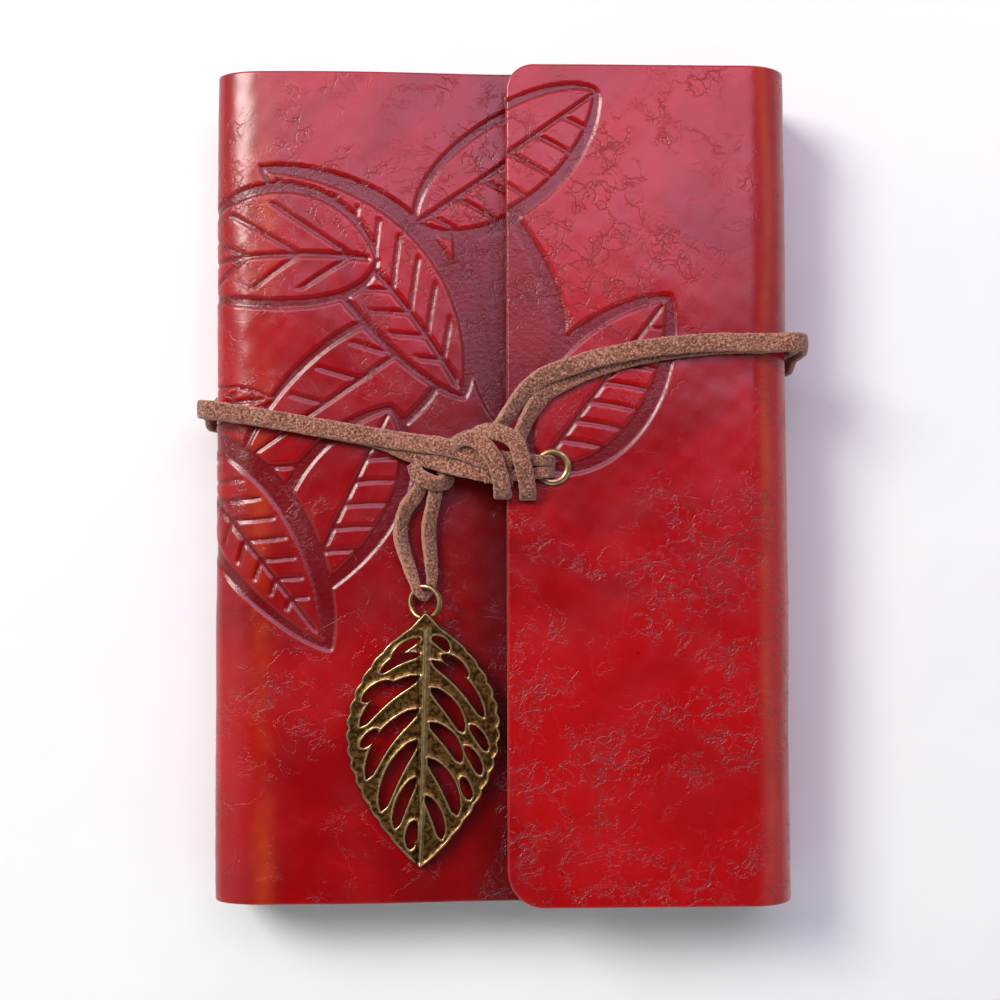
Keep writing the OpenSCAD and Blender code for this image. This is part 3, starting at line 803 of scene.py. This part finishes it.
class Strand:
    """A flat suede strand as rings of points. Its face turns from +X to +Z, and leans to +Y."""

    def __init__(self, rows, seed, spacing=0.34, around=22):
        line = smooth_rows(rows, spacing)
        self.centre = line[:, :3]
        ahead = np.gradient(self.centre, axis=0)
        ahead /= lengths(ahead)
        turn, lean = np.radians(line[:, 3]), np.radians(line[:, 4])
        facing = [np.cos(turn) * np.cos(lean), np.sin(lean), np.sin(turn) * np.cos(lean)]
        facing = np.stack(facing, axis=1)
        side = np.cross(ahead, facing)
        side /= lengths(side)
        out = np.cross(side, ahead)
        angle = 2 * math.pi * (np.arange(around) + 0.5) / around
        across = np.sign(np.cos(angle)) * np.abs(np.cos(angle)) ** SQUARE
        up = np.sign(np.sin(angle)) * np.abs(np.sin(angle)) ** SQUARE
        flat = side[:, None] * (across * line[:, 5:6] / 2)[..., None]
        ring = flat + out[:, None] * (up * line[:, 6:7] / 2)[..., None]
        place = (self.centre[:, None] + ring).reshape(-1, 3)
        rough = 0.07 * waves(place, seed, 4.0) + 0.05 * waves(place, seed + 1, 1.4)
        rough += np.random.default_rng(seed).normal(scale=0.045, size=len(place))
        rough = rough.reshape(*ring.shape[:2], 1)
        self.rings = place.reshape(ring.shape) + ring / lengths(ring) * rough
        self.side = np.broadcast_to(smooth_step(0.8, 0.99, np.abs(across)), ring.shape[:2])

    def piece(self, name, start=0, end=None):
        """The part of the strand from one ring to another, closed at both ends."""
        rings = self.rings[start : None if end is None else end + 1]
        mesh = mesh_from(name, rings.reshape(-1, 3), skin(*rings.shape[:2]), sharp=180)
        add_values(mesh, "side", self.side[start : start + len(rings)].ravel())
        made = new_object(name, mesh, SUEDE)
        return made


# under the book a strand faces down and is pressed thin: turn, lean, width, thickness
UNDER = (270, 0, 4, 1.2)
# the inner strand's route: from under the knot to the left, once round the book, back to the knot
INNER_ROUTE = [
    (2.5, 0.9, 30.4, 90), (-2, 1.6, 30.3, 92), (-8, 2.9, 29.2, 100), (-13, 4.2, 27, 105),
    (-20, 6.6, 24.4, 98), (-26, 9.2, 23.6, 92), (-40, 12.2, 23.45, 90), (-61, 15.7, 23.45, 90),
    (-63.1, 16, 23.6, 95), (-64.2, 16.3, 23.3, 125), (-65, 16.5, 22.2, 160), (-65.4, 17.1, 11.5, 180),
    (-65.2, 19.2, 4.8, 200), (-63.8, 19.3, 1.7, 245), (-62, 19.35, 0.65, *UNDER),
    (-59, 19.6, 0.65, *UNDER), (0, 25.7, 0.65, *UNDER), (59, 31.7, 0.65, *UNDER),
    (62, 32, 0.65, *UNDER), (63.8, 32, 1.7, 295), (65.2, 32, 4.8, 340), (65.4, 31, 15, 360),
    (65.3, 30.7, 26.2, 370), (65, 30.6, 27.6, 380), (64.2, 30.6, 28.7, 415), (63.1, 30.6, 29, 445),
    (61.3, 30.5, 28.85, 450), (43, 29.6, 28.85, 450), (30, 27.6, 28.85, 450), (17, 23.6, 28.85, 450),
    (9, 19, 29.3, 432, -14, 4, 1.5), (5.2, 13.4, 30, 411, -26, 4, 1.5),
    (3.2, 8.4, 30.3, 411, -26, 4, 1.5),
]
# the outer strand's route, over the inner one
OUTER_ROUTE = [
    (2, 3.2, 31, 92), (-3, 4.6, 31, 95), (-9, 6.8, 30, 105), (-14, 8, 27.6, 108),
    (-20, 8.9, 25.8, 97), (-40, 12.2, 25.1, 90), (-61, 15.7, 25.1, 90), (-63.2, 16, 25.25, 95),
    (-65.2, 16.3, 24.6, 125), (-66.6, 16.5, 22.7, 160), (-67.1, 16.7, 20.5, 175),
    (-67.2, 16.8, 11.5, 180), (-67, 14.95, 4.4, 200), (-64.4, 14.9, 1.4, 245),
    (-62, 15.05, 0.65, *UNDER), (-59, 15.3, 0.65, *UNDER), (0, 21.4, 0.65, *UNDER),
    (59, 27.4, 0.65, *UNDER), (62, 27.7, 0.65, *UNDER), (64.4, 27.9, 1.4, 295),
    (67, 27.8, 4.4, 340), (67.2, 29.6, 15, 360), (67.1, 30.4, 25.9, 365), (66.6, 30.6, 28.1, 380),
    (65.2, 30.6, 30, 415), (63.2, 30.6, 30.65, 445), (61.3, 30.5, 30.5, 450), (43, 30.2, 30.5, 450),
    (30, 28.8, 30.5, 450), (17, 25.8, 30.55, 450), (7, 21.6, 30.8, 434, -12, 4, 1.5),
    (0.4, 13.4, 31.4, 412, -26, 4, 1.5), (-2.2, 9.4, 31.6, 412, -26, 4, 1.5),
]


def make_lace_runs():
    """Both strands, cut where the book folds."""
    back_half = FOLD_X - LOW_BEND
    # name, CAD node, bodies, side, fold, and the test for where the piece ends
    cuts = (
        ("left_run", "lace_left_run", ("front",), -1, None,
         lambda p: p[:, 0] < -(FOLD_X - SPINE_BEND[0])),
        ("upper_spine_turn", "lace_spine_turn", ("spine_panel", "front"), -1, SPINE_FOLD,
         lambda p: p[:, 2] < SPINE_MID_Z),
        ("lower_spine_turn", "lace_spine_turn", ("back", "spine_panel"), -1, LOW_FOLD,
         lambda p: p[:, 0] > -back_half),
        ("back_run", "lace_back_run", ("back",), 0, None, lambda p: p[:, 0] > back_half),
        ("lower_fore_turn", "lace_fore_edge_turn", ("back", "fore_edge"), 1, LOW_FOLD,
         lambda p: p[:, 2] > STRIP_MID_Z),
        ("upper_fore_turn", "lace_fore_edge_turn", ("fore_edge", "flap_panel"), 1, FORE_FOLD,
         lambda p: p[:, 0] < FOLD_X - FORE_BEND[0]),
        ("right_run", "lace_right_run", ("flap_panel",), 1, None, None),
    )
    for strand_name, route, seed in (("inner", INNER_ROUTE, 21), ("outer", OUTER_ROUTE, 31)):
        strand = Strand(lace_rows(route), seed)
        last = len(strand.centre) - 1
        start = 0
        for name, node, bodies, side, fold, ends in cuts:
            end = start + int(np.argmax(ends(strand.centre[start:]))) if ends else last
            piece = strand.piece(f"lace_{strand_name}_{name}", start, end)
            if fold:
                blend_at_fold(piece)
            else:
                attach(piece, bodies[0])
            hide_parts(node)
            start = end


# the knot's two wraps, what goes from it into the eyelet, and the hitch: x, y, z, turn, lean
LEFT_WRAP = [
    (-11, 7.4, 28.6, 110, 20), (-9.4, 8.9, 30.6, 105, 35), (-7, 9.4, 32, 98, 20),
    (-4.3, 7.8, 33.1, 92, 0), (-2.2, 5.1, 33.4, 90, -5), (-0.7, 1.4, 32.9, 90, -20),
    (-0.1, -1.8, 31.6, 90, -48), (0, -3.2, 29.8, 90, -80), (0.3, -2.2, 28.4, 90, -125),
]
RIGHT_WRAP = [
    (-7.6, 9.2, 29.4, 100, 35), (-6.2, 10.2, 31.2, 98, 42), (-3.4, 10.8, 32.4, 94, 25),
    (-0.4, 10.3, 33.1, 90, 5), (2.3, 8.8, 33.4, 88, 0), (4, 4.6, 33.2, 86, -10),
    (5, 0.6, 32.2, 86, -25), (5.4, -2.2, 30.8, 88, -50), (5.5, -3.6, 29.3, 90, -80),
]
EYELET_STRANDS = {
    "upper": [
        (-5, 5.6, 30.6, 90), (-1, 5.4, 31, 90), (3.4, 5, 31.3, 90), (5.9, 4.7, 31.2, 88),
        (8.8, 4.5, 30.8, 78), (10.4, 4.4, 29.4, 40), (11, 4.4, 27, 5), (11, 4.4, 24.8, 0),
    ],
    "lower": [
        (-4, 0.9, 30.6, 90), (-0.5, 1.1, 30.8, 90), (3.4, 1.4, 31, 90), (5.9, 1.7, 30.9, 88),
        (8.8, 2, 30.5, 78), (10.4, 2.1, 29.1, 40), (11, 2.15, 27, 5), (11, 2.15, 24.8, 0),
    ],
}
HITCH = [
    (-19.4, 4.2, 24.9, 115, 0), (-18.6, 1.8, 26, 110, -10), (-16.2, 0.3, 26.5, 95, -25),
    (-13.6, -0.2, 25.9, 75, -30), (-12, 0.8, 24.9, 55, -10), (-12.8, 2.8, 24.3, 60, 10),
]
# the loop that carries the pendant, down its left side, through the jump ring, up its right side
TAIL_LOOP = [
    (-17.4, 0.6, 24.6, 66, 0, 3.2, 1.5), (-18.4, -1.8, 24.3, 56, 0, 3.4, 1.6),
    (-21.4, -6, 24.2, 48, 0, 3.6, 1.7), (-22.4, -11, 24.2, 46, 0, 3.6, 1.7),
    (-21, -17, 24.4, 50, 0, 3.2, 1.6), (-19.4, -21.4, 25.8, 66, 0, 2.4, 1.5),
    (-18.6, -23.7, 26, 80, 0, 1.8, 1.4), (-17.2, -25.1, 24.9, 90, 0, 1.8, 1.4),
    (-16, -23.9, 24, 84, 0, 1.8, 1.4), (-15.5, -21.4, 23.9, 72, 0, 2.4, 1.5),
    (-15.7, -17, 24, 58, 0, 3.2, 1.5), (-16.2, -10, 24.1, 54, 0, 3.5, 1.5),
    (-15.2, -4.6, 24, 60, 0, 3.3, 1.5), (-14.4, -0.2, 24.2, 72, 0, 3.2, 1.5),
]


def stand_for(piece, node, body):
    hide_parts(node)
    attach(piece, body)


def make_knot():
    for name, route, seed in (("left", LEFT_WRAP, 41), ("right", RIGHT_WRAP, 43)):
        wrap = Strand([(*row, 3.7, 1.5) for row in route], seed).piece(f"knot_{name}_wrap")
        stand_for(wrap, "lace_knot", "flap_panel")
    for name, route in EYELET_STRANDS.items():
        strand = Strand(lace_rows(route, 2.5, 1.4), 47 + len(name)).piece(f"eyelet_strand_{name}")
        stand_for(strand, "lace_eyelet_end", "flap_panel")


def make_hitch_and_loop():
    hitch = Strand([(*row, 3.4, 1.5) for row in HITCH], 53).piece("lace_hitch_band")
    stand_for(hitch, "lace_hitch", "front")
    loop = Strand(TAIL_LOOP, 59)
    made = loop.piece("lace_pendant_loop")
    stand_for(made, "lace_tail_loop", "front")


def make_stopper_knot():
    """A flat three-lobed knot under the eyelet, where the doubled lace can't pull back through."""
    low, high = node_box("lace_stopper_knot")
    centre = (low + high) / 2
    reach = (high[0] - low[0]) / 2 - 0.9
    rows = []
    for a in np.linspace(0, 2 * math.pi, 61):
        x = reach * (math.sin(a) + 2 * math.sin(2 * a)) / 3
        y = reach * (math.cos(a) - 2 * math.cos(2 * a)) / 3
        z = -0.42 * math.sin(3 * a)
        rows.append((*(centre + (x, y, z)), 90, 0, 1.9, 0.95))
    knot = Strand(rows, 61, 0.3, 16).piece("stopper_knot")
    stand_for(knot, "lace_stopper_knot", "flap_panel")


# ---- the metal
def tube(name, line, radius, around=14, sideways=(0, 0, 1.0)):
    """A round wire along a line of points, which never runs along sideways."""
    line = np.asarray(line, float)
    ahead = np.gradient(line, axis=0)
    ahead /= lengths(ahead)
    side = np.cross(ahead, sideways)
    side /= lengths(side)
    out = np.cross(side, ahead)
    angle = 2 * math.pi * np.arange(around) / around
    ring = side[:, None] * np.cos(angle)[None, :, None] + out[:, None] * np.sin(angle)[None, :, None]
    points = (line[:, None] + radius * ring).reshape(-1, 3)
    return mesh_from(name, points, skin(len(line), around))


def make_jump_ring():
    """Two turns of brass wire, side by side, tilted so that its right side stands up."""
    centre = np.array([-17, -26.2, 25.3])
    reach, wire, tilt = 3.5, 0.45, math.radians(20)
    line = []
    for a in np.linspace(0, 4.06 * math.pi, 150):
        x, y = reach * math.cos(a + 2.2), reach * math.sin(a + 2.2)
        z = (a / (4 * math.pi) - 0.5) * 1.7
        over = x * math.cos(tilt) - z * math.sin(tilt)
        line.append(centre + (over, y, x * math.sin(tilt) + z * math.cos(tilt)))
    ring = new_object("double_jump_ring", tube("double_jump_ring", line, wire), BRASS)
    stand_for(ring, "jump_ring", "front")


# the pendant: its eye, its slope, and its own sizes, measured down from the eye
LEAF_AT = np.array([-16.8, -30.2, 25.3])
LEAF_SLOPE = math.radians(2.2)
LEAF_LONG, LEAF_DRIFT, LEAF_HALF = 54.0, -1.3, 16.5
LEAF_PLATE = 0.9
SCALLOPS, SCALLOP_DEEP = 16, 0.6
# each opening between the veins: outer end, inner end, width, bow
LEAF_GAPS = [
    ((-7.4, -8.4), (-1.3, -3.9), 1.3, 0.5), ((-9.8, -11.3), (-1.4, -7.4), 1.4, 0.9),
    ((-13.8, -17.6), (-7.2, -13.4), 2, 0.4), ((-14.4, -23.1), (-1.4, -12.2), 2.4, 1.6),
    ((-14.2, -27.6), (-10.6, -23.8), 1.6, 0), ((-13, -34.6), (-1.7, -19.4), 2.8, 2),
    ((-9.8, -41.6), (-2.1, -26.2), 2.7, 1.3), ((-6.8, -45.4), (-2.3, -34.4), 2, 0.7),
    ((-3.5, -50), (-2.6, -43.8), 1.8, 0.2), ((5, -6.6), (1.5, -3.6), 1.6, -0.4),
    ((9.1, -12.3), (3.6, -7.6), 1.9, -0.4), ((12.6, -21.2), (1.3, -8.8), 2.1, -1.6),
    ((8.2, -24.4), (1.2, -14.8), 2.3, -0.9), ((7.7, -31), (0.9, -22.4), 2.4, -1),
    ((13.4, -28.6), (9.8, -23), 1.5, -0.3), ((12, -33.8), (8.6, -27.6), 1.6, -0.4),
    ((6.8, -42.6), (0.5, -30.2), 2.6, -1.2), ((9.6, -39.2), (7.9, -34.4), 1.6, 0),
    ((3.4, -47.8), (0, -38.4), 1.9, -0.7),
]
GAP_WIDER = 1.2
# the leaf's pointed neck, over the bail that holds it
LEAF_NECK = np.array(
    [(0, 1.9), (-0.5, 1.7), (-3.2, -1.2), (-9.8, -8.2), (0, -12), (9.4, -8.2), (3.2, -1.2), (0.5, 1.7)]
)


def leaf_edge():
    """The outline of the leaf, with its small scallops."""
    t = np.linspace(0, 1, 120)
    reach = np.maximum(np.sin(math.pi * t**0.87), 0) ** 0.8
    reach = LEAF_HALF * reach + SCALLOP_DEEP * np.abs(np.sin(math.pi * SCALLOPS * t)) * reach
    middle, down = LEAF_DRIFT * t, -LEAF_LONG * t
    left = np.stack([middle - reach, down], axis=1)
    right = np.stack([middle + reach, down], axis=1)
    return np.concatenate([left, right[-2:0:-1]])


def opening(outer, inner, width, bow):
    """The outline of one opening."""
    a, b = np.array(outer, float), np.array(inner, float)
    ahead = (b - a) / np.hypot(*(b - a))
    across = np.array([-ahead[1], ahead[0]])
    s = np.linspace(0, 1, 13)
    wave = np.maximum(np.sin(math.pi * s), 0)
    middle = a + (b - a) * s[:, None] + across * (bow * wave)[:, None]
    reach = across * (width * GAP_WIDER / 2 * wave**0.42)[:, None]
    return np.concatenate([middle + reach, (middle - reach)[-2:0:-1]])


def inside_by(points, outline):
    """How far each point is inside a closed outline. It is negative outside."""
    nearest = np.full(len(points), 1e9)
    crossings = np.zeros(len(points), int)
    for a, b in zip(outline, np.roll(outline, -1, axis=0)):
        edge = b - a
        t = np.clip((points - a) @ edge / max(edge @ edge, 1e-12), 0, 1)
        nearest = np.minimum(nearest, np.linalg.norm(points - a - t[:, None] * edge, axis=1))
        spans = (a[1] > points[:, 1]) != (b[1] > points[:, 1])
        at_x = a[0] + (points[:, 1] - a[1]) * edge[0] / (edge[1] if edge[1] else 1e-12)
        crossings += spans & (points[:, 0] < at_x)
    return np.where(crossings % 2 == 1, nearest, -nearest)


def leaf_distances(points):
    """How far each point is inside the pendant's outline, and outside the nearest opening."""
    outline = np.maximum(inside_by(points, leaf_edge()), inside_by(points, LEAF_NECK))
    gaps = np.full(len(points), 9.0)
    for gap in LEAF_GAPS:
        gaps = np.minimum(gaps, -inside_by(points, opening(*gap)))
    return outline, gaps


def leaf_grid():
    """Points over the leaf, with the border ones moved onto its outline, and the cells between them."""
    step = 0.2
    xs = np.arange(-LEAF_HALF - 1.4, LEAF_HALF + 1.0, step)
    ys = np.arange(-LEAF_LONG - 0.6, 2.6, step)
    gx, gy = np.meshgrid(xs, ys, indexing="ij")
    points = np.stack([gx.ravel(), gy.ravel()], axis=1)
    depth = np.minimum(*leaf_distances(points))
    cells = grid_cells(np.arange(gx.size).reshape(gx.shape))
    cells = cells[depth[cells].mean(axis=1) > 0]
    uses = np.zeros(gx.size, int)
    np.add.at(uses, cells.ravel(), 1)
    border = (uses > 0) & (uses < 4)
    slope = np.stack(np.gradient(depth.reshape(gx.shape), step), axis=-1).reshape(-1, 2)
    slope /= np.maximum(np.linalg.norm(slope, axis=1, keepdims=True), 0.5)
    move = np.clip(depth, -0.75 * step, 0.75 * step)[:, None] * slope
    points = np.where(border[:, None], points - move, points)
    chosen = np.flatnonzero(uses > 0)
    new_index = np.full(gx.size, -1)
    new_index[chosen] = np.arange(len(chosen))
    return points[chosen], new_index[cells]


def leaf_faces(points):
    """Heights of the leaf's front and back over each point, and how bright the front is: worn bright on
    the rims and the rib's top, with a painted highlight on the rib's right flank.
    """
    depth = np.maximum(np.minimum(*leaf_distances(points)), 0)
    t = np.clip(-points[:, 1] / LEAF_LONG, 0, 1)
    from_rib = points[:, 0] - (LEAF_DRIFT * t - 0.1)
    rib_half = 1.5 - 0.75 * t
    ridge = np.clip(1 - np.abs(from_rib) / rib_half, 0, 1) * (points[:, 1] < -1.5)
    rim = np.exp(-(((depth - 0.36) / 0.24) ** 2))
    lift = 1.25 * smooth_step(-5.5, -1.5, points[:, 1])
    dip = -0.12 * smooth_step(0.5, 1.3, depth)
    edge_fall = -0.3 * (1 - smooth_step(0, 0.22, depth))
    crease = np.exp(-(((from_rib + rib_half * 0.95) / 0.22) ** 2)) * (points[:, 1] < -2)
    height = 0.24 * rim + dip + edge_fall + 0.7 * ridge - 0.25 * crease
    bowl = 0.35 * (1 - (points[:, 0] / LEAF_HALF) ** 2) + lift
    # painted light: the midrib's right flank is painted brighter than its left, and the groove at its
    # left foot loses its brightness as a painted shade line
    rib_wear_and_highlight = np.where(from_rib > 0, 0.45, 0.1) * (ridge > 0) + 0.55 * smooth_step(0.6, 0.95, ridge)
    wear_and_highlight = np.clip(rim * smooth_step(0.05, 0.3, depth) + rib_wear_and_highlight, 0, 1) * (1 - crease)
    return LEAF_PLATE / 2 + 0.1 + height + bowl, bowl - LEAF_PLATE / 2, wear_and_highlight


def make_pendant():
    """A cast brass leaf with veins that are hollow between bright rims, and a sharp midrib."""
    flat, quads = leaf_grid()
    top, bottom, wear_and_highlight = leaf_faces(flat)
    solid = np.concatenate([np.column_stack([flat, top]), np.column_stack([flat, bottom])])
    count = len(flat)
    under = quads[:, ::-1] + count
    faces = [tuple(q) for q in [*quads.tolist(), *under.tolist()]]
    edges = np.concatenate([quads[:, [k, (k + 1) % 4]] for k in range(4)])
    both = {tuple(e) for e in edges.tolist()}
    faces += [(b, a, a + count, b + count) for a, b in both if (b, a) not in both]
    turn = np.array(Matrix.Rotation(LEAF_SLOPE, 3, "X"))
    mesh = mesh_from("leaf", solid @ turn.T + LEAF_AT, faces, sharp=70)
    add_values(mesh, "wear_and_highlight", np.concatenate([wear_and_highlight, np.zeros(count)]))
    made = new_object("brass_leaf", mesh, LEAF_BRASS)
    stand_for(made, "leaf_pendant", "leaf")


def make_bail():
    """The small eye on the back of the leaf's neck, round the jump ring."""
    reach, wire = 1.35, 0.38
    line = [
        LEAF_AT + (0, 0.9 + reach * math.cos(a), 0.35 + reach * math.sin(a))
        for a in np.linspace(0.1, 2 * math.pi + 0.1, 33)
    ]
    bail = new_object("leaf_bail", tube("leaf_bail", line, wire, 10, sideways=(1.0, 0, 0)), BRASS)
    stand_for(bail, "leaf_pendant", "leaf")


# ---- the pages
SHEETS = 36
HOLE_HALF = 3.0
RING_PLACES = (-63.5, -44.5, -25.5, 25.5, 44.5, 63.5)
HOLE_SIDES = 20


def punched_sheet(outer, holes, z, thick, start):
    """Points and faces of one sheet with holes, where the points are numbered from start."""
    loops = [outer, *[hole[::-1] for hole in holes]]
    flat = [p for loop in loops for p in loop]
    count = len(flat)
    points = [(x, y, z + thick / 2) for x, y in flat] + [(x, y, z - thick / 2) for x, y in flat]
    faces = []
    for a, b, c in tessellate_polygon([[Vector((*p, 0)) for p in loop] for loop in loops]):
        (ax, ay), (bx, by), (cx, cy) = flat[a], flat[b], flat[c]
        if (bx - ax) * (cy - ay) < (cx - ax) * (by - ay):
            b, c = c, b
        faces.append((start + a, start + b, start + c))
        faces.append((start + count + a, start + count + c, start + count + b))
    at = start
    for loop in loops:
        for k in range(len(loop)):
            a, b = at + k, at + (k + 1) % len(loop)
            faces.append((b, a, a + count, b + count))
        at += len(loop)
    return points, faces


def make_pages():
    """Loose sheets on the rings. Their holes follow the rings, and their cut edges are uneven."""
    rng = np.random.default_rng(7)
    ring_reach = (ring_high[0] - ring_low[0]) / 2 - 1.1
    ring_x = (ring_low[0] + ring_high[0]) / 2
    ring_z = (pages_low[2] + pages_high[2]) / 2
    pitch = (pages_high[2] - pages_low[2]) / SHEETS
    turns = [2 * math.pi * k / HOLE_SIDES for k in range(HOLE_SIDES)]
    circle = [(HOLE_HALF * math.cos(a), HOLE_HALF * math.sin(a)) for a in turns]
    points, faces = [], []
    for n in range(SHEETS):
        z = pages_low[2] + (n + 0.5) * pitch
        hole_x = ring_x + math.sqrt(max(ring_reach**2 - (z - ring_z) ** 2, 0))
        left, right = pages_low[0], pages_high[0] - rng.uniform(0, 0.45)
        tail, head = pages_low[1] + rng.uniform(0, 0.3), pages_high[1] - rng.uniform(0, 0.3)
        outer = [(left, tail), (right, tail), (right, head), (left, head)]
        holes = [[(hole_x + x, ring_y + y) for x, y in circle] for ring_y in RING_PLACES]
        more_points, more_faces = punched_sheet(outer, holes, z, 0.85 * pitch, len(points))
        points += more_points
        faces += more_faces
    made = new_object("page_sheets", mesh_from("page_sheets", points, faces, sharp=30), PAPER)
    stand_for(made, "page_stack_body", "pages")


def paint_cad_nodes():
    """The metal parts keep their CAD shape and get their finish."""
    steel = ("ring_base_plate", "upper_ring_blade", "lower_ring_blade", "upper_ring_halves",
             "lower_ring_halves")
    brass = ("spine_rivets", "spine_rivet_backs", "eyelet", "eyelet_washer")
    for names, finish in ((steel, STEEL), (brass, BRASS)):
        for name in names:
            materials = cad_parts[name].data.materials
            materials.clear()
            materials.append(finish)


make_camera()
make_light()
make_floor()
make_leather()
make_lace_runs()
make_knot()
make_hitch_and_loop()
make_stopper_knot()
make_jump_ring()
make_pendant()
make_bail()
make_pages()
paint_cad_nodes()
